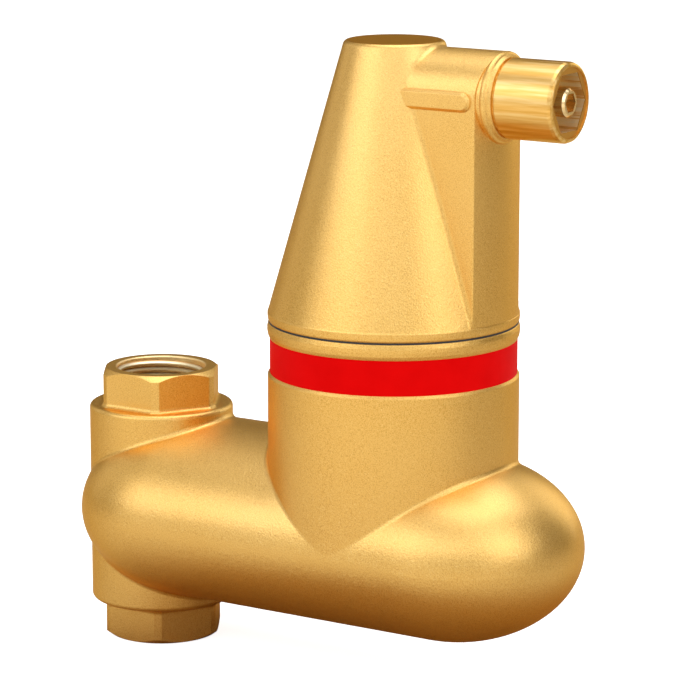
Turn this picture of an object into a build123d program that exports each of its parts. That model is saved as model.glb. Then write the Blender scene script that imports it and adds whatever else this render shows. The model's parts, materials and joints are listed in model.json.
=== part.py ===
from build123d import *
import os
from math import cos, radians, sin, sqrt

# Air separator for a vertical pipe.
# Origin: centre of the lower port's mouth. +Z runs up the pipe axis, +X points to the chamber and the vent.
# All sizes are in millimetres.

# Driving sizes of the casting
PORT_SPAN = 82.0
PORT_HEX = 33.0
PORT_THREAD_R = 13.22
PORT_THREAD_LENGTH = 16.0
BOSS_R = 21.5
BOSS_END = 11.0
BOSS_RISE = 3.45
BOSS_EDGE_ROUND = 1.4
CHAMBER_X = 82.0
CHAMBER_R = 36.05
CAPSULE_FAR = 21.9
WALL = 3.5
BAFFLE_T = 3.6
CAST_FILLET = 1.5

# Driving sizes of the band, the collar and the cap
BAND_ABOVE_MIDDLE = 49.0
BAND_HEIGHT = 10.0
COLLAR_HEIGHT = 4.8
CAP_HEIGHT = 80.1
CAP_RIM_HEIGHT = 3.0
CAP_TOP_R = 14.2
BARREL_R = 12.9
ARCH_REACH = 36.0
RIB_HEIGHT = 5.6
RIB_PROUD = 1.25
CAP_FILLET = 1.8
ARCH_EDGE_ROUND = 0.4

# Driving sizes of the vent
SLEEVE_R = 11.26
SLEEVE_LENGTH = 18.3
SLEEVE_HEX = 15.9
SLEEVE_MOUTH_R = 9.9
SLEEVE_MOUTH_DEPTH = 0.35
SPIGOT_LENGTH = 11.2
VENT_RING_R = 12.95
VENT_NECK_R = 11.9
SCREW_R = 4.0
SCREW_HEX = 5.0
SCREW_TRAVEL = 2.0

# Driving sizes of the float and its lever
FLOAT_TOP_R = 13.0
EYE_RISE = 12.2
LONG_ARM = 14.0
SHORT_ARM = 9.0
LEVER_SWING = 22.0
PIVOT_OFFSET = 8.0
FLOAT_RISE = 7.0
GUIDE_SETBACK = 2.85
GUIDE_SOCKET = 5.5
PIN_R = 1.5
LINK_R = 1.25

# Driving sizes of the ring pack
RING_HEIGHT = 25.0
RING_WALL = 0.7
RING_WINDOWS = 4
BASKET_T = 0.9
BASKET_FLOOR_T = 1.5

# Clearances
SEAT_GAP = 0.1
RUNNING_GAP = 0.08
FLOAT_GAP = 3.0
SEAL_GAP = 0.15
RING_GAP = 0.15
BASKET_GAP = 1.3

# Heights worked out from the driving sizes
MIDDLE = PORT_SPAN / 2
CAPSULE_HALF_HEIGHT = MIDDLE - BOSS_END - BOSS_RISE
BAND_Z = MIDDLE + BAND_ABOVE_MIDDLE
COLLAR_Z = BAND_Z + BAND_HEIGHT
JOINT_Z = COLLAR_Z + COLLAR_HEIGHT
CAP_TOP_Z = JOINT_Z + CAP_HEIGHT
NOZZLE_Z = CAP_TOP_Z - BARREL_R - 1.1
SLAB_Z = JOINT_Z + CAP_RIM_HEIGHT

# Radii worked out from the driving sizes
BAND_THICKNESS = 0.5
BAND_R = CHAMBER_R - 0.6
BAND_SEAT_R = BAND_R - BAND_THICKNESS
BORE_R = CHAMBER_R - WALL + 0.35
LEDGE_R = BORE_R - 1.3
SPIGOT_R = BORE_R - SEAT_GAP
SPIGOT_BORE = SPIGOT_R - 3.8
LEDGE_Z = BAND_Z
RETAINER_T = 1.4
SPIGOT_Z = LEDGE_Z + RETAINER_T

# Flow capsule: a hair wider than the chamber, so that the two forms cross in a clean line
CAPSULE_HALF_WIDTH = CHAMBER_R + 0.15
CAPSULE_NEAR = CAPSULE_HALF_WIDTH - BOSS_R + 0.1
INNER_W = CAPSULE_HALF_WIDTH - WALL
INNER_H = CAPSULE_HALF_HEIGHT - WALL

# Rings four to a layer, in the largest basket that passes the ledge
RING_R = (LEDGE_R - BASKET_GAP - BASKET_T - RING_GAP * (1 + sqrt(2))) / (1 + sqrt(2))
RING_OFFSET = RING_R + RING_GAP
BASKET_HALF = RING_OFFSET + RING_R + RING_GAP + BASKET_T
BASKET_Z = MIDDLE - INNER_H * sqrt(1 - ((BASKET_HALF + BASKET_GAP) / INNER_W) ** 2)
RINGS_Z = BASKET_Z + BASKET_FLOOR_T
RINGS_TOP = RINGS_Z + 2 * RING_HEIGHT
BOWL_Z = RINGS_TOP + SEAT_GAP
BOWL_R = LEDGE_R - 0.7
BOWL_T = 1.2

# Float
FLOAT_Z = LEDGE_Z + FLOAT_RISE
FLOAT_R = SPIGOT_BORE - FLOAT_GAP
FLOAT_WALL = 1.6
FLOAT_BASE_T = 2.0
GUIDE_R = 2.5
BUSH_TOP = FLOAT_Z - SEAT_GAP

# Lever
PIVOT_X = CHAMBER_X + PIVOT_OFFSET
PIVOT_Z = NOZZLE_Z - SHORT_ARM
HALF_SWING = LEVER_SWING / 2
LINK_X = PIVOT_X - LONG_ARM * cos(radians(HALF_SWING))
LINK_Z = PIVOT_Z - LONG_ARM * sin(radians(HALF_SWING))
FLOAT_TOP = LINK_Z - EYE_RISE
PAD_FACE = 3.4
PAD_R = 2.6
HUB_R = 3.0
FORK_Y = 2.2
FORK_T = 1.2

# Seat and bracket
SEAT_TIP_X = PIVOT_X + PAD_FACE + SEAL_GAP
WALL_FACE_X = PIVOT_X + 7.5
BRACKET_T = 1.5
BRACKET_X = WALL_FACE_X - BRACKET_T
CHEEK_Y = 5.5
CHEEK_T = 1.4
CHEEK_R = 4.5
SEAT_THREAD_R = 4.0
SEAT_FLANGE_R = 5.6
ORIFICE_R = 1.0
SEAT_WALL = 6.5

# Vent: the sleeve screws into the barrel and the screw's seal stands before the seat's outer end
SLEEVE_THREAD_R = SLEEVE_R - 2.56
SLEEVE_START = CHAMBER_X + ARCH_REACH + 2.2
SLEEVE_END = SLEEVE_START + SLEEVE_LENGTH
SLEEVE_WEB_X = SLEEVE_END - 10.5
BARREL_FLOOR_X = WALL_FACE_X + SEAT_WALL
SLEEVE_SPIGOT_X = SLEEVE_START - SPIGOT_LENGTH
SEAL_R = 3.1
SEAL_T = 1.6
STEM_R = 1.2
SCREW_TIP_X = BARREL_FLOOR_X + SCREW_TRAVEL + SEAL_T + SEAL_GAP
SCREW_END_X = SLEEVE_END

# Seal rings
CAP_RING_R = 1.1
CAP_RING_Z = JOINT_Z - 3.0
SLEEVE_RING_R = 0.75
SLEEVE_RING_X = SLEEVE_SPIGOT_X + 3.0
SCREW_RING_R = 0.6
SCREW_RING_X = SLEEVE_WEB_X - 4.0


def revolve_about(axis_x, profile):
    """Turn a closed profile of (radius, height) points about a vertical axis."""
    with BuildPart() as turned:
        with BuildSketch(Plane.XZ):
            with BuildLine():
                Polyline(*profile, close=True)
            make_face()
        revolve(axis=Axis.Z)
    return Pos(axis_x, 0, 0) * turned.part


def revolve_along_x(axis_z, profile):
    """Turn a closed profile of (x, radius) points about a horizontal axis."""
    with BuildPart() as turned:
        with BuildSketch(Plane.XZ):
            with BuildLine():
                Polyline(*profile, close=True)
            make_face()
        revolve(axis=Axis.X)
    return Pos(0, 0, axis_z) * turned.part


def upright(x, y, z0, z1, r):
    return Pos(x, y, z0) * extrude(Circle(r), z1 - z0)


def along_x(x0, x1, z, r):
    return extrude(Plane.YZ.offset(x0) * Pos(0, z) * Circle(r), x1 - x0)


def along_y(x, z, half, r):
    return extrude(Plane.XZ.offset(-half) * Pos(x, z) * Circle(r), 2 * half)


def block(x0, x1, y0, y1, z0, z1):
    centre = Pos((x0 + x1) / 2, (y0 + y1) / 2, (z0 + z1) / 2)
    return centre * Box(x1 - x0, y1 - y0, z1 - z0)


def capsule(half_width, half_height):
    """Elliptical tube with half spheroids on both ends."""
    near = CAPSULE_NEAR
    far = CHAMBER_X + CAPSULE_FAR
    oval = Plane.YZ.offset(near) * Pos(0, MIDDLE) * Ellipse(half_width, half_height)
    tube = extrude(oval, far - near)
    right_half = Pos(half_width / 2, 0) * Rectangle(half_width, 4 * half_height)
    slice_face = Plane.YZ * Pos(0, MIDDLE) * (Ellipse(half_width, half_height) & right_half)
    near_end = Pos(near, 0, 0) * revolve(slice_face, Axis.Z, 180)
    far_end = Pos(far, 0, 0) * revolve(slice_face, Axis.Z, -180)
    return tube + near_end + far_end


def port_hex(upward):
    """Spanner hexagon of one port, corners turned down and end chamfered."""
    face = MIDDLE - BOSS_END
    corner = PORT_HEX / sqrt(3)
    trim = corner - 0.65
    blank = extrude(RegularPolygon(corner, 6), MIDDLE)
    end_r = PORT_HEX / 2 - 0.1
    turned = revolve_about(0, [(0, 0), (trim, 0), (trim, MIDDLE - 1.5), (end_r, MIDDLE), (0, MIDDLE)])
    hexagon = blank & turned
    hexagon = hexagon - Pos(0, 0, -1) * extrude(Circle(3 * corner), face)
    if upward:
        return Pos(0, 0, MIDDLE) * hexagon
    return Pos(0, 0, MIDDLE) * Rot(180, 0, 0) * hexagon


def reach(point, axis_x):
    """Distance of a point from a vertical axis."""
    return Vector(point.X - axis_x, point.Y, 0).length


def lies_on(edge, axis_x, radius_at):
    """True if the whole edge lies on a round form about a vertical axis."""
    for t in (0.0, 0.25, 0.5, 0.75, 1.0):
        point = edge @ t
        if abs(reach(point, axis_x) - radius_at(point.Z)) > 0.03:
            return False
    return True


def is_on_chamber(edge):
    middle = edge @ 0.5
    if not MIDDLE < middle.Z < MIDDLE + CAPSULE_HALF_HEIGHT + 1:
        return False
    return lies_on(edge, CHAMBER_X, lambda z: CHAMBER_R)


def is_on_boss(edge):
    middle = edge @ 0.5
    if abs(middle.Z - MIDDLE) > CAPSULE_HALF_HEIGHT + 1:
        return False
    return lies_on(edge, 0, lambda z: BOSS_R)


def is_hex_foot(edge):
    start = edge @ 0.0
    end = edge @ 1.0
    from_face = min(abs(start.Z - BOSS_END), abs(start.Z - PORT_SPAN + BOSS_END))
    return from_face < 0.01 and abs(start.Z - end.Z) < 0.01 and reach(start, 0) < BOSS_R - CAST_FILLET


def pipe_boss():
    """Vertical boss with a spanner hexagon on each end."""
    boss = upright(0, 0, BOSS_END, PORT_SPAN - BOSS_END, BOSS_R)
    boss = fillet(boss.edges().filter_by(GeomType.CIRCLE), BOSS_EDGE_ROUND)
    boss = boss + port_hex(True) + port_hex(False)
    return fillet([edge for edge in boss.edges() if is_hex_foot(edge)], CAST_FILLET)


def body_casting():
    outer = capsule(CAPSULE_HALF_WIDTH, CAPSULE_HALF_HEIGHT)
    outer = outer + upright(CHAMBER_X, 0, MIDDLE, BAND_Z - 2, CHAMBER_R)
    outer = fillet([edge for edge in outer.edges() if is_on_chamber(edge)], CAST_FILLET)
    outer = outer + pipe_boss()
    outer = fillet([edge for edge in outer.edges() if is_on_boss(edge)], CAST_FILLET)
    neck = [
        (0, BAND_Z - 2), (CHAMBER_R, BAND_Z - 2), (CHAMBER_R, BAND_Z - 0.8), (BAND_R + 0.05, BAND_Z),
        (BAND_SEAT_R, BAND_Z), (BAND_SEAT_R, COLLAR_Z), (BAND_R + 0.05, COLLAR_Z),
        (CHAMBER_R - 0.1, COLLAR_Z + 1.0), (CHAMBER_R + 0.1, COLLAR_Z + 2.2),
        (CHAMBER_R + 0.1, JOINT_Z - 1.6), (CHAMBER_R - 0.15, JOINT_Z - 0.5), (CHAMBER_R - 0.55, JOINT_Z),
        (0, JOINT_Z),
    ]
    outer = outer + revolve_about(CHAMBER_X, neck)
    cavity = capsule(INNER_W, INNER_H)
    baffle_end = CHAMBER_X - BASKET_HALF - 2.5
    wide = 2 * CAPSULE_HALF_WIDTH
    baffle = block(-wide, baffle_end, -wide, wide, MIDDLE - BAFFLE_T / 2, MIDDLE + BAFFLE_T / 2)
    cavity = cavity - baffle
    cavity = cavity - floor_pads()
    inner = outer - cavity
    inner = inner - upright(CHAMBER_X, 0, MIDDLE, JOINT_Z + 1, LEDGE_R)
    inner = inner - upright(CHAMBER_X, 0, LEDGE_Z, JOINT_Z + 1, BORE_R)
    for sign in (-1, 1):
        inner = inner - port_bore(sign)
    return inner


def floor_pads():
    """Four pads on the chamber's floor that carry the ring basket."""
    reach = RING_OFFSET
    pads = []
    for sx in (-1, 1):
        for sy in (-1, 1):
            pads.append(upright(CHAMBER_X + sx * reach, sy * reach, 0, BASKET_Z, 4.0))
    return pads


def port_bore(sign):
    """Threaded bore with its countersink, from one mouth into the cavity."""
    mouth = PORT_THREAD_R + 0.35
    way = PORT_THREAD_R - 1.4
    depth = MIDDLE - PORT_THREAD_LENGTH
    profile = [
        (0, INNER_H / 2), (way, INNER_H / 2), (way, depth), (PORT_THREAD_R, depth + 0.8),
        (PORT_THREAD_R, MIDDLE - 0.35), (mouth, MIDDLE), (mouth, MIDDLE + 1), (0, MIDDLE + 1),
    ]
    bore = revolve_about(0, profile)
    if sign > 0:
        return Pos(0, 0, MIDDLE) * bore
    return Pos(0, 0, MIDDLE) * Rot(180, 0, 0) * bore


def label_band():
    ring = upright(CHAMBER_X, 0, BAND_Z, COLLAR_Z, BAND_R)
    return ring - upright(CHAMBER_X, 0, BAND_Z - 1, COLLAR_Z + 1, BAND_SEAT_R)


def cone_r(z):
    """Radius of the cap's cone at a height."""
    low_r = CHAMBER_R - 0.2
    return CAP_TOP_R + (low_r - CAP_TOP_R) * (CAP_TOP_Z - z) / (CAP_TOP_Z - SLAB_Z)


def is_cone_joint(edge):
    """Edges where the arch grows out of the cone."""
    middle = edge @ 0.5
    if edge.geom_type in (GeomType.LINE, GeomType.CIRCLE) or middle.X < CHAMBER_X + 1:
        return False
    return SLAB_Z + 0.1 < middle.Z < CAP_TOP_Z - 0.5 and lies_on(edge, CHAMBER_X, cone_r)


def arch_corners():
    """Slivers that round the arch's two upright outer edges."""
    sides = Pos(ARCH_REACH, 0) * Rectangle(ARCH_REACH, 2 * BARREL_R)
    sharp = Circle(ARCH_REACH) & sides
    outer = [v for v in sharp.vertices() if v.X > ARCH_REACH * 0.7 and abs(v.Y) > BARREL_R / 2]
    sliver = sharp - fillet(outer, ARCH_EDGE_ROUND)
    return Pos(CHAMBER_X, 0, SLAB_Z) * extrude(sliver, NOZZLE_Z - SLAB_Z)


def cap_outside():
    """Cone with its round-topped arch, then the rim under both."""
    slope = [(0, SLAB_Z), (cone_r(SLAB_Z), SLAB_Z), (CAP_TOP_R, CAP_TOP_Z), (0, CAP_TOP_Z)]
    cone = revolve_about(CHAMBER_X, slope)
    cone = fillet(cone.edges().filter_by(GeomType.CIRCLE).sort_by(Axis.Z)[-1], 1.6)
    arch_sketch = Pos(0, NOZZLE_Z) * Circle(BARREL_R)
    arch_sketch = arch_sketch + Pos(0, (SLAB_Z + NOZZLE_Z) / 2) * Rectangle(2 * BARREL_R, NOZZLE_Z - SLAB_Z)
    arch = extrude(Plane.YZ.offset(CHAMBER_X) * arch_sketch, ARCH_REACH * 1.3)
    shell = cone + arch
    shell = fillet([edge for edge in shell.edges() if is_cone_joint(edge)], CAP_FILLET)
    shell = shell & upright(CHAMBER_X, 0, SLAB_Z, CAP_TOP_Z, ARCH_REACH)
    shell = shell - arch_corners()
    rim = revolve_about(CHAMBER_X, [
        (0, JOINT_Z), (CHAMBER_R - 0.5, JOINT_Z), (CHAMBER_R - 0.1, JOINT_Z + 0.7),
        (CHAMBER_R, JOINT_Z + 1.6), (CHAMBER_R, SLAB_Z - 0.4), (cone_r(SLAB_Z), SLAB_Z), (0, SLAB_Z),
    ])
    return shell + rim


def air_cap():
    shell = cap_outside()
    for sign in (-1, 1):
        shell = shell + rib(sign)
    shell = shell + vent_boss()
    shell = shell + upright(CHAMBER_X, 0, SPIGOT_Z, JOINT_Z + 1, SPIGOT_R)
    shell = shell - cap_cavity()
    shell = shell - o_ring_groove()
    pocket_half = CHEEK_Y + CHEEK_T + 0.8
    low = PIVOT_Z - CHEEK_R - 1.5
    shell = shell - block(CHAMBER_X, WALL_FACE_X, -pocket_half, pocket_half, low, NOZZLE_Z + pocket_half - 0.9)
    shell = shell - along_x(CHAMBER_X, SLEEVE_START, NOZZLE_Z, SEAT_THREAD_R + SEAT_GAP / 2)
    return shell - along_x(BARREL_FLOOR_X, SLEEVE_START + 5, NOZZLE_Z, SLEEVE_THREAD_R + SEAT_GAP / 2)


def rib(sign):
    """Flat bar on one side of the barrel, its outer end rounded."""
    end = CHAMBER_X + sqrt(ARCH_REACH ** 2 - BARREL_R ** 2) - 1.2
    start = CHAMBER_X + BARREL_R / 2
    round_r = RIB_HEIGHT / 2 - 0.1
    low = NOZZLE_Z - RIB_HEIGHT / 2 - 0.3
    bar = block(start, end, 0, BARREL_R + RIB_PROUD, low, low + RIB_HEIGHT)
    bar = fillet(bar.edges().filter_by(Axis.Y).sort_by(Axis.X)[-2:], round_r)
    bar = chamfer(bar.faces().sort_by(Axis.Y)[-1].edges(), 0.8)
    if sign < 0:
        return mirror(bar, Plane.XZ)
    return bar


def vent_boss():
    """Rounded ring that carries the sleeve, on a short neck before the arch."""
    face = CHAMBER_X + ARCH_REACH
    end = SLEEVE_START - 0.3
    ring = VENT_RING_R
    profile = [
        (CHAMBER_X, 0), (CHAMBER_X, VENT_NECK_R), (face - 1.15, VENT_NECK_R), (face - 1.05, ring - 0.45),
        (face - 0.75, ring - 0.15), (face - 0.2, ring), (face + 0.3, ring - 0.1), (face + 0.7, ring - 0.4),
        (face + 1.0, ring - 0.85), (end, SLEEVE_R + 0.25), (end, 0),
    ]
    return revolve_along_x(NOZZLE_Z, profile)


def cap_cavity():
    """Inside of the cap: spigot bore, then a cone with its own slope."""
    crown = CAP_TOP_Z - 4.0
    profile = [
        (0, SPIGOT_Z - 1), (SPIGOT_BORE, SPIGOT_Z - 1), (SPIGOT_BORE, JOINT_Z + 1.5),
        (CAP_TOP_R - 2.2, crown - 1.0), (CAP_TOP_R - 3.6, crown), (0, crown),
    ]
    return revolve_about(CHAMBER_X, profile)


def o_ring_groove():
    half = CAP_RING_R + 0.15
    ring = upright(CHAMBER_X, 0, CAP_RING_Z - half, CAP_RING_Z + half, SPIGOT_R + 1)
    return ring - upright(CHAMBER_X, 0, CAP_RING_Z - 3, CAP_RING_Z + 3, SPIGOT_R - 2 * CAP_RING_R)


def cap_o_ring():
    return Pos(CHAMBER_X, 0, CAP_RING_Z) * Torus(SPIGOT_R - CAP_RING_R, CAP_RING_R)


def valve_seat():
    """Screwed nozzle that the lever's pad closes."""
    flange_x = BRACKET_X - 1.6
    profile = [
        (SEAT_TIP_X, ORIFICE_R), (SEAT_TIP_X, ORIFICE_R + 0.5), (flange_x, ORIFICE_R + 1.8),
        (flange_x, SEAT_FLANGE_R), (BRACKET_X, SEAT_FLANGE_R), (BRACKET_X, SEAT_THREAD_R),
        (BARREL_FLOOR_X, SEAT_THREAD_R), (BARREL_FLOOR_X, ORIFICE_R),
    ]
    seat = revolve_along_x(NOZZLE_Z, profile)
    hexagon = Plane.YZ.offset(SEAT_TIP_X - 1) * Pos(0, NOZZLE_Z) * RegularPolygon(SEAT_FLANGE_R, 6)
    return seat & extrude(hexagon, 40)


def valve_bracket():
    """Bent sheet frame: back plate under the seat and two cheeks for the pin."""
    half = CHEEK_Y + CHEEK_T
    low = PIVOT_Z - CHEEK_R
    frame = block(BRACKET_X, WALL_FACE_X, -half, half, low, NOZZLE_Z + SEAT_FLANGE_R + 0.6)
    for sign in (-1, 1):
        inner = sign * CHEEK_Y
        outer = sign * half
        y = (inner, outer)
        cheek = block(PIVOT_X - CHEEK_R, WALL_FACE_X, min(y), max(y), low, PIVOT_Z + CHEEK_R)
        frame = frame + fillet(cheek.edges().filter_by(Axis.Y).sort_by(Axis.X)[:2], CHEEK_R - 1.0)
    frame = frame - along_y(PIVOT_X, PIVOT_Z, 20, PIN_R)
    frame = frame - along_x(BRACKET_X - 1, WALL_FACE_X + 1, NOZZLE_Z, SEAT_THREAD_R)
    return frame


def pivot_pin():
    half = CHEEK_Y + CHEEK_T + 0.4
    pin = along_y(PIVOT_X, PIVOT_Z, half, PIN_R)
    return chamfer(pin.edges().filter_by(GeomType.CIRCLE), 0.3)


def swing(piece):
    """Lean a lever piece from its closed place to its open place."""
    return Pos(PIVOT_X, 0, PIVOT_Z) * Rot(0, -LEVER_SWING, 0) * piece


def lever():
    """Bell crank, drawn closed about its own pivot and then leaned open."""
    hub_half = CHEEK_Y - 0.35
    hub = extrude(Plane.XZ.offset(-hub_half) * Circle(HUB_R), 2 * hub_half)
    upper = block(-1.2, 1.0, -PAD_R, PAD_R, HUB_R / 2, SHORT_ARM + PAD_R + 0.8)
    cup = extrude(Plane.YZ.offset(1.0) * Pos(0, SHORT_ARM) * Circle(PAD_R + 0.8), 1.4)
    cup = cup - extrude(Plane.YZ.offset(1.4) * Pos(0, SHORT_ARM) * Circle(PAD_R), 1.4)
    long_arm = lever_fork()
    crank = hub + upper + cup + long_arm
    crank = crank - extrude(Plane.XZ.offset(-20) * Circle(PIN_R + RUNNING_GAP), 40)
    return swing(crank)


def lever_fork():
    """Two parallel arms that carry the link pin on either side of the float's eye."""
    half = FORK_Y + FORK_T
    lean = Rot(0, HALF_SWING, 0)
    arms = []
    for sign in (-1, 1):
        y = (sign * FORK_Y, sign * half)
        side = block(-LONG_ARM - 2.6, -1.0, min(y), max(y), -2.2, 2.2)
        side = fillet(side.edges().filter_by(Axis.Y).sort_by(Axis.X)[:2], 1.8)
        arms.append(side)
    pair = arms[0] + arms[1]
    hole = extrude(Plane.XZ.offset(-20) * Pos(-LONG_ARM, 0) * Circle(LINK_R), 40)
    return lean * (pair - hole)


def lever_pad():
    """Rubber disc in the lever's cup, leaned open with it."""
    disc = extrude(Plane.YZ.offset(1.4) * Pos(0, SHORT_ARM) * Circle(PAD_R), PAD_FACE - 1.4)
    return swing(disc)


def link_pin():
    pin = along_y(LINK_X, LINK_Z, FORK_Y + FORK_T + 0.3, LINK_R)
    return chamfer(pin.edges().filter_by(GeomType.CIRCLE), 0.25)


def float_shell():
    """Hollow cup of the float, open below and closed by its base."""
    outer = revolve_about(CHAMBER_X, [
        (0, FLOAT_Z + FLOAT_BASE_T), (FLOAT_R, FLOAT_Z + FLOAT_BASE_T), (FLOAT_R, FLOAT_Z + 9),
        (FLOAT_TOP_R, FLOAT_TOP - 2), (FLOAT_TOP_R - 2, FLOAT_TOP), (0, FLOAT_TOP),
    ])
    inner = revolve_about(CHAMBER_X, [
        (0, FLOAT_Z), (FLOAT_R - FLOAT_WALL, FLOAT_Z), (FLOAT_R - FLOAT_WALL, FLOAT_Z + 8.6),
        (FLOAT_TOP_R - FLOAT_WALL, FLOAT_TOP - 2 - FLOAT_WALL), (0, FLOAT_TOP - 2 - FLOAT_WALL),
    ])
    return outer - inner


def float_base():
    """Disc that closes the float, with a plug that centres it."""
    plug_r = FLOAT_R - FLOAT_WALL - SEAT_GAP
    floor = FLOAT_Z + FLOAT_BASE_T
    top = FLOAT_Z + GUIDE_SOCKET + 1.5
    base = revolve_about(CHAMBER_X, [
        (0, FLOAT_Z), (FLOAT_R - 0.8, FLOAT_Z), (FLOAT_R, FLOAT_Z + 0.8), (FLOAT_R, floor),
        (plug_r, floor), (plug_r, floor + 3), (plug_r - 1.5, floor + 3), (plug_r - 1.5, floor),
        (GUIDE_R + 2, floor), (GUIDE_R + 2, top), (0, top),
    ])
    return base - upright(CHAMBER_X, 0, FLOAT_Z - 1, FLOAT_Z + GUIDE_SOCKET, GUIDE_R)


def float_guide_pin():
    pin = upright(CHAMBER_X, 0, BOWL_Z + GUIDE_SETBACK, FLOAT_Z + GUIDE_SOCKET, GUIDE_R)
    return chamfer(pin.edges().sort_by(Axis.Z)[0], 0.6)


def float_eye():
    """Sheet tab moulded on the float's top, with a slot for the link pin."""
    half = FORK_Y - 0.35
    foot = upright(LINK_X, 0, FLOAT_TOP, FLOAT_TOP + 2, 4.0)
    tab = block(LINK_X - 3, LINK_X + 3, -half, half, FLOAT_TOP, LINK_Z + 3.2)
    tab = fillet(tab.edges().filter_by(Axis.Y).sort_by(Axis.Z)[-2:], 2.6)
    slot_h = 2 * (LINK_R + RUNNING_GAP)
    slot = Plane.XZ.offset(-10) * Pos(LINK_X - 0.13, LINK_Z) * SlotOverall(slot_h + 0.7, slot_h)
    return foot + tab - extrude(slot, 20)


def pall_ring(x, y, z, turn):
    """Open packing ring: a thin tube with two rows of windows, their tongues bent in."""
    tube = Circle(RING_R) - Circle(RING_R - RING_WALL)
    ring = extrude(tube, RING_HEIGHT)
    window_h = RING_HEIGHT * 0.3
    window_w = RING_R * 0.72
    rows = (RING_HEIGHT * 0.13, RING_HEIGHT * 0.57)
    for row, low in enumerate(rows):
        for n in range(RING_WINDOWS):
            angle = (n + row / 2) * 360 / RING_WINDOWS
            cutter = Pos(RING_R, 0, low + window_h / 2) * Box(8, window_w, window_h)
            ring = ring - Rot(0, 0, angle) * cutter
            ring = ring + Rot(0, 0, angle) * tongue(low, window_h, window_w)
    return Pos(x, y, z) * Rot(0, 0, turn) * ring


def tongue(low, window_h, window_w):
    """Strip hinged on one side of its window, bent towards the ring's axis."""
    root_y = -window_w / 2
    root_x = sqrt(RING_R ** 2 - root_y ** 2) - RING_WALL * 0.75
    hinge = (Align.MAX, Align.CENTER, Align.MIN)
    strip = Box(window_w * 0.85, RING_WALL * 0.8, window_h * 0.92, align=hinge)
    return Pos(root_x + 0.2, root_y - RING_WALL * 0.5, low + window_h * 0.04) * Rot(0, 0, -8) * strip


def ring_basket():
    """Sheet cage around the rings, with a drilled floor and slotted sides."""
    half = BASKET_HALF - BASKET_T
    corner = RING_R + RING_GAP
    outer = RectangleRounded(2 * BASKET_HALF, 2 * BASKET_HALF, corner + BASKET_T)
    inner = RectangleRounded(2 * half, 2 * half, corner)
    tub = Pos(0, 0, BASKET_Z) * extrude(outer, RINGS_TOP - BASKET_Z)
    tub = tub - Pos(0, 0, RINGS_Z) * extrude(inner, RINGS_TOP)
    for level in range(3):
        low = RINGS_Z + 3.0 + level * 16.0
        for step in (-1.5, -0.5, 0.5, 1.5):
            slot_x = block(-60, 60, step * 9 - 2.5, step * 9 + 2.5, low, low + 12)
            slot_y = block(step * 9 - 2.5, step * 9 + 2.5, -60, 60, low, low + 12)
            tub = tub - slot_x - slot_y
    for i in range(-2, 3):
        for j in range(-2, 3):
            if abs(i) + abs(j) < 4:
                tub = tub - upright(i * 8.6, j * 8.6, BASKET_Z - 1, RINGS_Z + 1, 2.6)
    return Pos(CHAMBER_X, 0, 0) * tub


def ring_retainer():
    """Drilled bowl clamped under the cap's spigot, which holds the rings down."""
    bowl = revolve_about(CHAMBER_X, [
        (0, BOWL_Z), (BOWL_R - 1.5, BOWL_Z), (BOWL_R, BOWL_Z + 1.5), (BOWL_R, LEDGE_Z), (SPIGOT_R, LEDGE_Z),
        (SPIGOT_R, SPIGOT_Z), (BOWL_R - BOWL_T, SPIGOT_Z), (BOWL_R - BOWL_T, BOWL_Z + BOWL_T + 1.0),
        (BOWL_R - BOWL_T - 1.0, BOWL_Z + BOWL_T), (0, BOWL_Z + BOWL_T),
    ])
    for count, reach in ((8, 12.0), (14, 22.0)):
        for n in range(count):
            hole = Rot(0, 0, n * 360 / count) * upright(reach, 0, BOWL_Z - 1, BOWL_Z + 3, 2.8)
            bowl = bowl - Pos(CHAMBER_X, 0, 0) * hole
    return bowl - upright(CHAMBER_X, 0, BOWL_Z - 1, BOWL_Z + 3, GUIDE_R + 2)


def guide_bush():
    """Flanged bush in the bowl's middle, where the float's pin slides."""
    flange_z = BOWL_Z + BOWL_T
    bore = GUIDE_R + RUNNING_GAP
    outer = GUIDE_R + 2
    bush = revolve_about(CHAMBER_X, [
        (bore, BOWL_Z), (outer, BOWL_Z), (outer, flange_z), (outer + 2, flange_z),
        (outer + 2, flange_z + 1.2), (outer, flange_z + 2), (outer, BUSH_TOP), (bore, BUSH_TOP),
    ])
    return bush


def vent_sleeve():
    """Polished outlet: threaded spigot, web with air holes, and a hexagonal recess."""
    tail = SLEEVE_SPIGOT_X
    start = SLEEVE_START
    end = SLEEVE_END
    neck_r = SLEEVE_R - 0.5
    body = revolve_along_x(NOZZLE_Z, [
        (tail, 0), (tail, SLEEVE_THREAD_R - 0.6), (tail + 0.8, SLEEVE_THREAD_R),
        (start - 0.3, SLEEVE_THREAD_R), (start - 0.3, neck_r), (start + 0.3, neck_r),
        (start + 0.3, SLEEVE_R - 0.15), (start + 0.5, SLEEVE_R), (end - 1.2, SLEEVE_R),
        (end - 0.35, SLEEVE_R - 0.3), (end, SLEEVE_R - 0.9), (end, 0),
    ])
    hexagon = Plane.YZ.offset(SLEEVE_WEB_X) * Pos(0, NOZZLE_Z) * RegularPolygon(SLEEVE_HEX / sqrt(3), 6)
    recess = extrude(hexagon, 30)
    mouth = along_x(end - SLEEVE_MOUTH_DEPTH, end + 1, NOZZLE_Z, SLEEVE_MOUTH_R)
    body = body - recess - mouth - sleeve_groove()
    body = body - along_x(SLEEVE_SPIGOT_X - 1, SLEEVE_WEB_X + 1, NOZZLE_Z, SCREW_R + RUNNING_GAP)
    for n in range(4):
        air = along_x(SLEEVE_SPIGOT_X - 1, SLEEVE_WEB_X + 1, 0, 0.8)
        body = body - Pos(0, 0, NOZZLE_Z) * Rot(45 + 90 * n, 0, 0) * Pos(0, 0, SCREW_R + 1.3) * air
    return body


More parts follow.
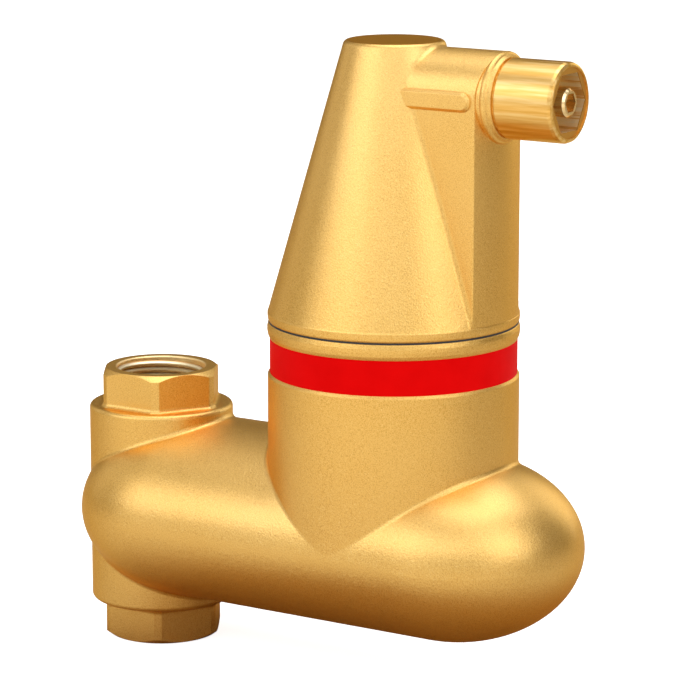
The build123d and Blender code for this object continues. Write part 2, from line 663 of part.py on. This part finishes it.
def sleeve_groove():
    half = SLEEVE_RING_R + 0.1
    ring = along_x(SLEEVE_RING_X - half, SLEEVE_RING_X + half, NOZZLE_Z, SLEEVE_THREAD_R + 1)
    floor = SLEEVE_THREAD_R - 2 * SLEEVE_RING_R
    return ring - along_x(SLEEVE_RING_X - 3, SLEEVE_RING_X + 3, NOZZLE_Z, floor)


def sleeve_o_ring():
    ring = Torus(SLEEVE_THREAD_R - SLEEVE_RING_R, SLEEVE_RING_R)
    return Pos(SLEEVE_RING_X, 0, NOZZLE_Z) * Rot(0, 90, 0) * ring


def vent_screw():
    """Shut-off screw in the sleeve's middle, with a socket for a key."""
    groove_r = SCREW_R - 2 * SCREW_RING_R
    low = SCREW_RING_X - SCREW_RING_R - 0.1
    high = SCREW_RING_X + SCREW_RING_R + 0.1
    shoulder = SCREW_TIP_X + SEAL_T
    body = revolve_along_x(NOZZLE_Z, [
        (SCREW_TIP_X, 0), (SCREW_TIP_X, STEM_R), (shoulder, STEM_R), (shoulder, SCREW_R - 0.6),
        (shoulder + 0.6, SCREW_R), (low, SCREW_R), (low, groove_r), (high, groove_r), (high, SCREW_R),
        (SCREW_END_X - 0.6, SCREW_R), (SCREW_END_X, SCREW_R - 0.6), (SCREW_END_X, 0),
    ])
    socket = Plane.YZ.offset(SCREW_END_X - 4.5) * Pos(0, NOZZLE_Z) * RegularPolygon(SCREW_HEX / sqrt(3), 6)
    return body - extrude(socket, 10)


def screw_o_ring():
    ring = Torus(SCREW_R - SCREW_RING_R, SCREW_RING_R)
    return Pos(SCREW_RING_X, 0, NOZZLE_Z) * Rot(0, 90, 0) * ring


def shutoff_seal():
    """Soft cap snapped on the screw's tip, free to turn on it."""
    back = SCREW_TIP_X + SEAL_T - RUNNING_GAP
    face = SCREW_TIP_X - SEAL_T
    hollow = STEM_R + RUNNING_GAP
    return revolve_along_x(NOZZLE_Z, [
        (face, 0), (face, SEAL_R - 0.5), (face + 0.5, SEAL_R), (back, SEAL_R), (back, hollow),
        (SCREW_TIP_X - RUNNING_GAP, hollow), (SCREW_TIP_X - RUNNING_GAP, 0),
    ])


def ring_pack():
    """Two layers of four rings, the upper layer turned half a window."""
    rings = {}
    number = 1
    for layer in range(2):
        for sx in (-1, 1):
            for sy in (-1, 1):
                x = CHAMBER_X + sx * RING_OFFSET
                y = sy * RING_OFFSET
                turn = 20 * number
                rings["pall_ring_" + str(number)] = pall_ring(x, y, RINGS_Z + layer * RING_HEIGHT, turn)
                number = number + 1
    return rings


pieces = {
    "body_casting": body_casting(),
    "label_band": label_band(),
    "ring_basket": ring_basket(),
    "ring_retainer": ring_retainer(),
    "guide_bush": guide_bush(),
    "cap_o_ring": cap_o_ring(),
    "air_cap": air_cap(),
    "valve_bracket": valve_bracket(),
    "valve_seat": valve_seat(),
    "pivot_pin": pivot_pin(),
    "vent_sleeve": vent_sleeve(),
    "sleeve_o_ring": sleeve_o_ring(),
    "float_shell": float_shell(),
    "float_base": float_base(),
    "float_guide_pin": float_guide_pin(),
    "float_eye": float_eye(),
    "lever": lever(),
    "lever_pad": lever_pad(),
    "link_pin": link_pin(),
    "vent_screw": vent_screw(),
    "screw_o_ring": screw_o_ring(),
    "shutoff_seal": shutoff_seal(),
}
pieces.update(ring_pack())

os.makedirs("parts", exist_ok=True)
for name, piece in pieces.items():
    export_step(piece, "parts/" + name + ".step")
    print(name, round(piece.volume), "mm3")
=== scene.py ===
import json
import math

import bpy
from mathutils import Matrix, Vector

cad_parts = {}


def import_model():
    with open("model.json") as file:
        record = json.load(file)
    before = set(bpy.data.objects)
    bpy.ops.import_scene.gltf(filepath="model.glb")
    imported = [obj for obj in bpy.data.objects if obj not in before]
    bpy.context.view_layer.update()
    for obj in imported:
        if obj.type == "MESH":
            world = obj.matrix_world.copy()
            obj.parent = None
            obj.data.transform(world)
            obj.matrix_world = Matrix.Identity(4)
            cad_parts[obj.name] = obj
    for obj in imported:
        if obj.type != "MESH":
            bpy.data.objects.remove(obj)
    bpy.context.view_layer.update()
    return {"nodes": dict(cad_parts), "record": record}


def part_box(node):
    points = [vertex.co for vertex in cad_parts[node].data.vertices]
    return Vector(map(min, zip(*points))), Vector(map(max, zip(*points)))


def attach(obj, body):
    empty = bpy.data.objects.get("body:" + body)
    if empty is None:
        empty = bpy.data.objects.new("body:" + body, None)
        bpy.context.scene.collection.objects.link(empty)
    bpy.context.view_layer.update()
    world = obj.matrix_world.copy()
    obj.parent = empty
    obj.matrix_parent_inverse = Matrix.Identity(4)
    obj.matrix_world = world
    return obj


# Air separator: finishes, screw threads, studio and camera. Everything is in metres.

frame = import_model()
nodes = frame["nodes"]

MM = 0.001


def millimetres(value):
    return value * MM


# Places worked out from the frame

casting_low, casting_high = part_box("body_casting")
cap_low, cap_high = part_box("air_cap")
sleeve_low, sleeve_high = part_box("vent_sleeve")
band_low, band_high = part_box("label_band")

CHAMBER_X = (band_low.x + band_high.x) / 2
BAND_R = (band_high.x - band_low.x) / 2
NOZZLE_Z = (sleeve_low.z + sleeve_high.z) / 2
SLEEVE_R = (sleeve_high.z - sleeve_low.z) / 2


# Node helpers

class Nodes:
    """A short way to write a material's nodes."""

    def __init__(self, tree):
        self.tree = tree
        self.tree.nodes.clear()

    def add(self, kind, **settings):
        node = self.tree.nodes.new("ShaderNode" + kind)
        for key, value in settings.items():
            if hasattr(node, key):
                setattr(node, key, value)
            else:
                node.inputs[key.replace("_", " ")].default_value = value
        return node

    def link(self, source, target):
        self.tree.links.new(source, target)

    def place(self):
        """Position on the object, in metres."""
        return self.add("TexCoord").outputs["Object"]

    def noise(self, vector, scale, detail=2.0, roughness=0.5, distortion=0.0):
        node = self.add("TexNoise")
        node.inputs["Scale"].default_value = scale
        node.inputs["Detail"].default_value = detail
        node.inputs["Roughness"].default_value = roughness
        node.inputs["Distortion"].default_value = distortion
        self.link(vector, node.inputs["Vector"])
        return node.outputs["Fac"]

    def grain(self, vector, scale, randomness=1.0):
        node = self.add("TexVoronoi", feature="F1")
        node.inputs["Scale"].default_value = scale
        node.inputs["Randomness"].default_value = randomness
        self.link(vector, node.inputs["Vector"])
        return node

    def ramp(self, value, *stops, interpolation="LINEAR"):
        node = self.add("ValToRGB")
        node.color_ramp.interpolation = interpolation
        while len(node.color_ramp.elements) < len(stops):
            node.color_ramp.elements.new(0.5)
        for element, (position, colour) in zip(node.color_ramp.elements, stops):
            element.position = position
            element.color = colour if len(colour) == 4 else (*colour, 1.0)
        self.link(value, node.inputs["Fac"])
        return node.outputs["Color"]

    def span(self, value, low, high, to_low, to_high):
        node = self.add("MapRange")
        node.inputs["From Min"].default_value = low
        node.inputs["From Max"].default_value = high
        node.inputs["To Min"].default_value = to_low
        node.inputs["To Max"].default_value = to_high
        self.link(value, node.inputs["Value"])
        return node.outputs["Result"]

    def math(self, operation, a, b=None):
        node = self.add("Math", operation=operation)
        for socket, value in zip(node.inputs, (a, b)):
            if value is None:
                continue
            if isinstance(value, (int, float)):
                socket.default_value = value
            else:
                self.link(value, socket)
        return node.outputs[0]

    def mix(self, fac, a, b, blend="MIX"):
        node = self.add("Mix", data_type="RGBA", blend_type=blend)
        sockets = (node.inputs[0], node.inputs[6], node.inputs[7])
        for socket, value in zip(sockets, (fac, a, b)):
            if isinstance(value, (int, float)):
                socket.default_value = value
            elif isinstance(value, tuple):
                socket.default_value = value if len(value) == 4 else (*value, 1.0)
            else:
                self.link(value, socket)
        return node.outputs[2]

    def radius(self, vector, axis, centre):
        """Distance from an axis along X or Z."""
        shift = self.add("VectorMath", operation="SUBTRACT")
        self.link(vector, shift.inputs[0])
        shift.inputs[1].default_value = centre
        flat = self.add("VectorMath", operation="MULTIPLY")
        self.link(shift.outputs["Vector"], flat.inputs[0])
        flat.inputs[1].default_value = (0.0, 1.0, 1.0) if axis == "X" else (1.0, 1.0, 0.0)
        length = self.add("VectorMath", operation="LENGTH")
        self.link(flat.outputs["Vector"], length.inputs[0])
        return length.outputs["Value"]

    def beyond(self, vector, axis, value):
        """1 past a place along an axis, 0 before it."""
        parts = self.add("SeparateXYZ")
        self.link(vector, parts.inputs[0])
        return self.math("GREATER_THAN", parts.outputs[axis], value)

    def soft_edges(self, radius):
        """Normal that rounds the sharp edges a little."""
        node = self.add("Bevel", samples=4)
        node.inputs["Radius"].default_value = radius
        return node.outputs["Normal"]

    def within(self, vector, axis, centre, radius):
        """1 inside a round column about an axis, 0 outside."""
        return self.math("LESS_THAN", self.radius(vector, axis, centre), radius)

    def bump(self, height, strength, distance, normal=None):
        node = self.add("Bump")
        node.inputs["Strength"].default_value = strength
        node.inputs["Distance"].default_value = distance
        self.link(height, node.inputs["Height"])
        if normal is not None:
            self.link(normal, node.inputs["Normal"])
        return node.outputs["Normal"]

    def shader(self, colour, roughness, normal=None, **constants):
        bsdf = self.add("BsdfPrincipled")
        for socket, value in (("Base Color", colour), ("Roughness", roughness)):
            if isinstance(value, (int, float)):
                bsdf.inputs[socket].default_value = value
            elif isinstance(value, tuple):
                bsdf.inputs[socket].default_value = (*value, 1.0)
            else:
                self.link(value, bsdf.inputs[socket])
        for key, value in constants.items():
            bsdf.inputs[key.replace("_", " ")].default_value = value
        if normal is not None:
            self.link(normal, bsdf.inputs["Normal"])
        output = self.add("OutputMaterial")
        self.link(bsdf.outputs[0], output.inputs["Surface"])
        return bsdf


def material(name):
    made = bpy.data.materials.new(name)
    made.use_nodes = True
    return made, Nodes(made.node_tree)


# Brass

CAST_PIT = (0.66, 0.36, 0.08)
CAST_DEEP = (0.78, 0.44, 0.095)
CAST_MID = (0.88, 0.555, 0.15)
CAST_PALE = (0.97, 0.72, 0.32)
EDGE_TINT = (0.96, 0.66, 0.26, 1.0)
MACHINED = (0.98, 0.74, 0.36)
TOP_DISC_PAINTED_SHADE = (0.58, 0.25, 0.012)
LAND_PAINTED_SHADE = (0.66, 0.36, 0.09)
BORE_FINISH_R = millimetres(13.6)
RECESS_PAINTED_LIGHT_R = millimetres(9.86)
CAST_COAT = {"Coat_Weight": 0.25, "Coat_IOR": 1.6, "Coat_Roughness": 0.32}


def cast_brass():
    """Shot-blasted casting: fine grain with bright and dark specks, mottled by the blasting; the cap's flat top
    carries painted shade.
    """
    made, n = material("cast_brass_blasted_painted_top_shade")
    place = n.place()
    fine = n.noise(place, 3400, detail=2, roughness=0.6)
    grit = n.grain(place, 1500)
    patch = n.noise(place, 55, detail=3, roughness=0.55)
    broad = n.noise(place, 14, detail=2)
    tone = n.ramp(fine, (0.33, CAST_PIT), (0.43, CAST_DEEP), (0.50, CAST_MID), (0.60, CAST_MID), (0.74, CAST_PALE))
    tone = n.mix(n.span(patch, 0.35, 0.7, 0.0, 0.25), tone, CAST_MID)
    tone = n.mix(n.span(broad, 0.35, 0.7, 0.0, 0.22), tone, CAST_PALE)
    rough = n.span(fine, 0.25, 0.75, 0.30, 0.46)
    height = n.math("ADD", n.math("MULTIPLY", fine, 0.7), n.math("MULTIPLY", grit.outputs["Distance"], 0.5))
    normal = n.bump(height, 0.36, 0.0002, n.soft_edges(0.00035))
    normal = n.bump(patch, 0.08, 0.0012, normal)
    # painted shade: the flat top of the cap is coloured dark brown, standing in for the dark reflection above it
    tone = n.mix(n.math("MULTIPLY", n.beyond(place, "Z", cap_high.z - millimetres(0.1)), 0.85), tone, TOP_DISC_PAINTED_SHADE)
    bore = n.within(place, "Z", (0.0, 0.0, 0.0), BORE_FINISH_R)
    tone = n.mix(bore, tone, MACHINED)
    rough = n.math("MAXIMUM", rough, n.math("MULTIPLY", bore, 0.42))
    n.shader(tone, rough, normal, Metallic=1.0, Specular_Tint=EDGE_TINT, **CAST_COAT)
    return made


def polished_brass():
    """Polished sleeve: faint streaks along its axis over fine turning marks; painted light in the hex recess and
    painted shade on its end land.
    """
    made, n = material("polished_brass_turned_painted_recess_light")
    place = n.place()
    along = n.add("Mapping")
    along.inputs["Scale"].default_value = (0.05, 1.0, 1.0)
    n.link(place, along.inputs["Vector"])
    streak = n.noise(along.outputs["Vector"], 700, detail=3, roughness=0.65)
    around = n.add("Mapping")
    around.inputs["Scale"].default_value = (1.0, 0.04, 0.04)
    n.link(place, around.inputs["Vector"])
    turned = n.noise(around.outputs["Vector"], 5200, detail=2)
    tone = n.ramp(streak, (0.34, (0.74, 0.42, 0.10)), (0.50, (0.86, 0.54, 0.165)), (0.66, (0.95, 0.68, 0.29)))
    rough = n.span(streak, 0.35, 0.65, 0.31, 0.38)
    # painted light: inside the hex recess the colour is much paler, with pale streaks as painted highlights,
    # standing in for light the deep recess does not get
    recess_painted_light_mask = n.within(place, "X", (0.0, 0.0, NOZZLE_Z), RECESS_PAINTED_LIGHT_R)
    inside = n.ramp(streak, (0.40, (0.80, 0.50, 0.18)), (0.47, (1.0, 0.80, 0.46)), (0.60, (1.0, 0.92, 0.70)))
    # painted shade: the flat land at the mouth of the recess is coloured dark brown
    land_painted_shade_mask = n.beyond(place, "X", sleeve_high.x - millimetres(0.6))
    tone = n.mix(recess_painted_light_mask, tone, n.mix(land_painted_shade_mask, inside, LAND_PAINTED_SHADE))
    rough = n.math("MAXIMUM", rough, n.math("MULTIPLY", recess_painted_light_mask, 0.52))
    normal = n.bump(turned, 0.04, 0.00005)
    n.shader(tone, rough, normal, Metallic=1.0, Specular_Tint=(1.0, 0.76, 0.40, 1.0))
    return made


def turned_brass():
    """Machined brass: thread flanks and bores."""
    made, n = material("turned_brass_machined")
    place = n.place()
    stretch = n.add("Mapping")
    stretch.inputs["Scale"].default_value = (0.05, 0.05, 1.0)
    n.link(place, stretch.inputs["Vector"])
    lines = n.noise(stretch.outputs["Vector"], 4200, detail=2)
    tone = n.mix(n.span(lines, 0.3, 0.7, 0.0, 1.0), (0.94, 0.68, 0.32), (1.0, 0.82, 0.50))
    normal = n.bump(lines, 0.12, 0.00008)
    n.shader(tone, 0.22, normal, Metallic=1.0, Specular_Tint=EDGE_TINT)
    return made


def thread_brass():
    """Cut thread: painted highlight on the crests, painted shade in the roots."""
    made, n = material("thread_brass_painted_crest_light_root_shade")
    place = n.place()
    marks = n.noise(place, 3000, detail=2)
    # painted light: the crests are coloured pale as painted highlight and the roots dark brown as painted shade
    painted_root_shade = n.span(n.radius(place, "Z", (0.0, 0.0, 0.0)), millimetres(12.5), millimetres(13.1), 0.0, 1.0)
    tone = n.mix(painted_root_shade, (1.0, 0.90, 0.62), (0.50, 0.26, 0.07))
    normal = n.bump(marks, 0.1, 0.00006)
    n.shader(tone, n.span(marks, 0.3, 0.7, 0.38, 0.48), normal, Metallic=1.0)
    return made


def red_label():
    """Printed film: glossy red with the slightest ripple."""
    made, n = material("red_label_film")
    place = n.place()
    ripple = n.noise(place, 120, detail=2)
    dust = n.noise(place, 3000, detail=1)
    tone = n.mix(n.span(ripple, 0.3, 0.7, 0.0, 1.0), (0.72, 0.0012, 0.0012), (0.78, 0.0018, 0.0018))
    rough = n.span(dust, 0.3, 0.7, 0.50, 0.58)
    normal = n.bump(ripple, 0.05, 0.0006)
    n.shader(tone, rough, normal, Specular_IOR_Level=0.02)
    return made


# Inside pieces

def brushed_steel(name, dark, light, rough):
    made, n = material(name)
    place = n.place()
    stretch = n.add("Mapping")
    stretch.inputs["Scale"].default_value = (1.0, 1.0, 0.06)
    n.link(place, stretch.inputs["Vector"])
    lines = n.noise(stretch.outputs["Vector"], 3600, detail=3)
    stain = n.noise(place, 90, detail=3)
    tone = n.mix(n.span(lines, 0.3, 0.7, 0.0, 1.0), dark, light)
    tone = n.mix(n.span(stain, 0.5, 0.8, 0.0, 0.25), tone, (0.42, 0.40, 0.37))
    normal = n.bump(lines, 0.1, 0.00006)
    n.shader(tone, n.span(lines, 0.3, 0.7, rough - 0.05, rough + 0.08), normal, Metallic=1.0)
    return made


def moulded(name, low, high, rough, speck=900):
    made, n = material(name)
    place = n.place()
    skin = n.noise(place, speck, detail=3)
    cloud = n.noise(place, 70, detail=3)
    tone = n.mix(n.span(cloud, 0.3, 0.7, 0.0, 1.0), low, high)
    normal = n.bump(skin, 0.12, 0.0001)
    n.shader(tone, n.span(skin, 0.3, 0.7, rough - 0.06, rough + 0.06), normal)
    return made


finishes = {
    "cast_brass": cast_brass(),
    "polished_brass": polished_brass(),
    "turned_brass": turned_brass(),
    "thread_brass": thread_brass(),
    "red_label": red_label(),
    "sheet_steel": brushed_steel("sheet_steel_brushed", (0.50, 0.50, 0.50), (0.68, 0.68, 0.67), 0.30),
    "ring_steel": brushed_steel("ring_steel_stamped", (0.44, 0.44, 0.45), (0.64, 0.64, 0.64), 0.26),
    "pin_steel": brushed_steel("pin_steel_ground", (0.58, 0.58, 0.60), (0.74, 0.74, 0.75), 0.18),
    "float_plastic": moulded("float_plastic_moulded", (0.62, 0.60, 0.54), (0.70, 0.68, 0.62), 0.42),
    "white_plastic": moulded("white_plastic_moulded", (0.74, 0.74, 0.72), (0.80, 0.80, 0.78), 0.36),
    "black_rubber": moulded("black_rubber_moulded", (0.016, 0.016, 0.017), (0.028, 0.028, 0.029), 0.55, speck=1500),
}

slot_of_node = {}
for row in frame["record"]["materials"]:
    for node_name in row.get("nodes", []):
        slot_of_node[node_name] = row["slot"]

for node_name, node in nodes.items():
    slot = node.data.materials[0].name if node.data.materials else slot_of_node.get(node_name)
    finish = finishes[slot]
    node.data.materials.clear()
    node.data.materials.append(finish)


# Screw threads of the two ports

THREAD_PITCH = millimetres(1.814)
THREAD_DEPTH = millimetres(1.162)
PORT_THREAD_R = millimetres(13.22)
THREAD_LENGTH = millimetres(14.6)
THREAD_STEPS = 96


def thread(name, mouth_z, inward):
    """Helical ridge inside a port. inward is +1 or -1, the way in from the mouth."""
    turns = THREAD_LENGTH / THREAD_PITCH
    steps = int(turns * THREAD_STEPS)
    root = PORT_THREAD_R + millimetres(0.05)
    crest = PORT_THREAD_R - THREAD_DEPTH
    profile = (
        (root, -0.47), (crest + THREAD_DEPTH * 0.14, -0.10), (crest, -0.055), (crest, 0.055),
        (crest + THREAD_DEPTH * 0.14, 0.10), (root, 0.47),
    )
    vertices = []
    faces = []
    for step in range(steps + 1):
        angle = 2 * math.pi * step / THREAD_STEPS
        along = THREAD_PITCH * (step / THREAD_STEPS + 0.5)
        fade = min(1.0, step / (THREAD_STEPS * 0.45), (steps - step) / (THREAD_STEPS * 0.45))
        for radius, offset in profile:
            r = root + (radius - root) * fade
            z = mouth_z + inward * (along + offset * THREAD_PITCH)
            vertices.append((r * math.cos(angle), inward * r * math.sin(angle), z))
    count = len(profile)
    for step in range(steps):
        for k in range(count - 1):
            a = step * count + k
            faces.append((a, a + 1, a + count + 1, a + count))
    mesh = bpy.data.meshes.new(name)
    mesh.from_pydata(vertices, [], faces)
    mesh.update()
    obj = bpy.data.objects.new(name, mesh)
    bpy.context.scene.collection.objects.link(obj)
    mesh.materials.append(finishes["thread_brass"])
    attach(obj, "casting")


thread("upper_port_thread", casting_low.z + millimetres(82.0), -1)
thread("lower_port_thread", casting_low.z, 1)


# Thin trim: a black ring in the groove between cap and body as painted shade, and a bead behind the vent's ring

def hoop(name, profile, place_point, finish):
    """Closed ring swept from a profile of (radius, along) points."""
    steps = 160
    count = len(profile)
    vertices = []
    faces = []
    for step in range(steps):
        angle = 2 * math.pi * step / steps
        for radius, along in profile:
            vertices.append(place_point(radius * math.cos(angle), radius * math.sin(angle), along))
        for k in range(count):
            a = step * count + k
            b = step * count + (k + 1) % count
            c = ((step + 1) % steps) * count
            faces.append((a, b, c + (k + 1) % count, c + k))
    mesh = bpy.data.meshes.new(name)
    mesh.from_pydata(vertices, [], faces)
    mesh.update()
    obj = bpy.data.objects.new(name, mesh)
    bpy.context.scene.collection.objects.link(obj)
    mesh.materials.append(finishes[finish])
    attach(obj, "casting")
    return obj


JOINT_Z = band_high.z + millimetres(4.8)
GROOVE_R = BAND_R + millimetres(0.30)
BEAD_R = SLEEVE_R + millimetres(1.25)
BEAD_X = sleeve_high.x - millimetres(22.4)

joint_shade_profile = [(GROOVE_R - 0.0004, -0.00026), (GROOVE_R, -0.00026), (GROOVE_R, 0.00026), (GROOVE_R - 0.0004, 0.00026)]
bead = [(BEAD_R - 0.0012, -0.0010), (BEAD_R, -0.0010), (BEAD_R, 0.0010), (BEAD_R - 0.0012, 0.0010)]
# painted shade: a thin black ring laid in the groove deepens the dark line at the joint
hoop("joint_painted_shade_ring", joint_shade_profile, lambda a, b, h: (CHAMBER_X + a, b, JOINT_Z + h), "black_rubber")
hoop("vent_bead", bead, lambda a, b, h: (BEAD_X + h, a, NOZZLE_Z + b), "cast_brass")


# Studio: pale floor, soft lights, camera

REFLECTED_SHADE_CENTRE = (0.08, 0.0, 0.0)
REFLECTED_SHADE_NEAR = 0.07
REFLECTED_SHADE_FAR = 0.13
POOL_TOWARDS = (0.12, -1.0, 0.0)
WORLD_TOWARDS = (0.30, -0.85, 0.43)
GLOW_DIRECT = 0.85
GLOW_AHEAD = 0.72
GLOW_BEHIND = 0.10
WORLD_AHEAD = 0.60
WORLD_BEHIND = 0.14
WARM = (1.0, 0.81, 0.50)
PALE_WARM = (1.0, 0.95, 0.84)


def floor():
    """Pale floor: white to the camera; to the metal it shows painted shade, a darker, warmer copy of its paint and
    a dark warm patch close around the object, with a warm glow beyond that is brighter ahead.
    """
    size = 12.0
    mesh = bpy.data.meshes.new("studio_floor")
    corners = [(-size, -size, 0), (size, -size, 0), (size, size, 0), (-size, size, 0)]
    mesh.from_pydata(corners, [], [(0, 1, 2, 3)])
    obj = bpy.data.objects.new("studio_floor", mesh)
    bpy.context.scene.collection.objects.link(obj)
    obj.location.z = -0.0002
    made, n = material("pale_floor_painted_reflected_shade")
    rays = n.add("LightPath")
    mirrored = n.math("MAXIMUM", rays.outputs["Is Glossy Ray"], rays.outputs["Is Transmission Ray"])
    spot = n.place()
    away = n.add("VectorMath", operation="DISTANCE")
    n.link(spot, away.inputs[0])
    away.inputs[1].default_value = REFLECTED_SHADE_CENTRE
    outside_reflected_shade = n.span(away.outputs["Value"], REFLECTED_SHADE_NEAR, REFLECTED_SHADE_FAR, 0.0, 1.0)
    ahead = n.add("VectorMath", operation="DOT_PRODUCT")
    n.link(spot, ahead.inputs[0])
    ahead.inputs[1].default_value = POOL_TOWARDS
    forward = n.span(ahead.outputs["Value"], 0.02, 0.46, 0.0, 1.0)
    lit = n.span(forward, 0.0, 1.0, GLOW_BEHIND, GLOW_AHEAD)
    # painted shade: close around the object the floor seen in reflections turns dark warm brown
    painted_reflected_shade = n.math("MULTIPLY", mirrored, n.math("SUBTRACT", 1.0, outside_reflected_shade))
    paint = n.add("BsdfDiffuse")
    # painted shade: the floor's paint is darker and warmer to reflections than to the camera
    paint_shaded_in_reflections = n.mix(mirrored, (0.80, 0.80, 0.80), (0.48, 0.44, 0.36))
    n.link(n.mix(painted_reflected_shade, paint_shaded_in_reflections, (0.36, 0.21, 0.075)), paint.inputs["Color"])
    direct = n.math("MULTIPLY", rays.outputs["Is Camera Ray"], GLOW_DIRECT)
    shown = n.math("MULTIPLY", mirrored, n.math("MULTIPLY", outside_reflected_shade, lit))
    glow = n.add("Emission")
    n.link(n.mix(mirrored, (1.0, 1.0, 1.0), n.mix(forward, WARM, PALE_WARM)), glow.inputs["Color"])
    n.link(n.math("MAXIMUM", direct, shown), glow.inputs["Strength"])
    both = n.add("AddShader")
    n.link(paint.outputs[0], both.inputs[0])
    n.link(glow.outputs[0], both.inputs[1])
    output = n.add("OutputMaterial")
    n.link(both.outputs[0], output.inputs["Surface"])
    mesh.materials.append(made)


def world():
    made = bpy.data.worlds.new("studio")
    bpy.context.scene.world = made
    made.use_nodes = True
    n = Nodes(made.node_tree)
    background = n.add("Background")
    ahead = n.add("VectorMath", operation="DOT_PRODUCT")
    n.link(n.add("TexCoord").outputs["Generated"], ahead.inputs[0])
    ahead.inputs[1].default_value = WORLD_TOWARDS
    forward = n.span(ahead.outputs["Value"], -0.5, 0.8, 0.0, 1.0)
    n.link(n.mix(forward, WARM, PALE_WARM), background.inputs["Color"])
    n.link(n.span(forward, 0.0, 1.0, WORLD_BEHIND, WORLD_AHEAD), background.inputs["Strength"])
    output = n.add("OutputWorld")
    n.link(background.outputs[0], output.inputs["Surface"])


def soft_box(name, place, target, width, height, power, colour=(0.96, 1.0, 1.14)):
    lamp = bpy.data.lights.new(name, "AREA")
    lamp.shape = "RECTANGLE"
    lamp.size = width
    lamp.size_y = height
    lamp.energy = power
    lamp.color = colour
    obj = bpy.data.objects.new(name, lamp)
    obj.location = place
    obj.rotation_mode = "QUATERNION"
    obj.rotation_quaternion = (Vector(target) - Vector(place)).to_track_quat("-Z", "Y")
    bpy.context.scene.collection.objects.link(obj)
    return obj


AIM = (0.07, 0.0, 0.09)
CAMERA_AZIMUTH = math.radians(32.644)


def round_object(azimuth, distance, height):
    """A place at an angle from the camera's side, positive to the camera's right."""
    angle = CAMERA_AZIMUTH + math.radians(azimuth)
    return (AIM[0] + distance * math.sin(angle), -distance * math.cos(angle), height)


def lights():
    soft_box("left_box", round_object(-60, 0.95, 0.66), AIM, 1.05, 0.75, 3.5)
    soft_box("right_box", round_object(48, 0.95, 0.62), AIM, 0.70, 0.75, 2.8)
    soft_box("front_box", round_object(-5, 1.1, 0.80), AIM, 0.9, 0.5, 1.8)
    soft_box("top_box", (0.1, 0.25, 1.3), AIM, 1.3, 1.3, 11.0)
    soft_box("left_rim", round_object(-128, 0.9, 0.40), AIM, 0.5, 0.7, 0.6)
    soft_box("right_rim", round_object(138, 0.9, 0.35), AIM, 0.5, 0.6, 1.3)


def camera():
    data = bpy.data.cameras.new("photo_camera")
    data.sensor_width = 36.0
    data.lens = 174.38
    data.clip_start = 0.01
    data.clip_end = 50.0
    obj = bpy.data.objects.new("photo_camera", data)
    back = Vector((0.52829, -0.82466, 0.20213)).normalized()
    obj.location = (0.5718, -0.7914, 0.2899)
    obj.rotation_mode = "QUATERNION"
    obj.rotation_quaternion = (-back).to_track_quat("-Z", "Y")
    bpy.context.scene.collection.objects.link(obj)
    bpy.context.scene.camera = obj


floor()
world()
lights()
camera()
bpy.context.scene.view_settings.view_transform = "Standard"
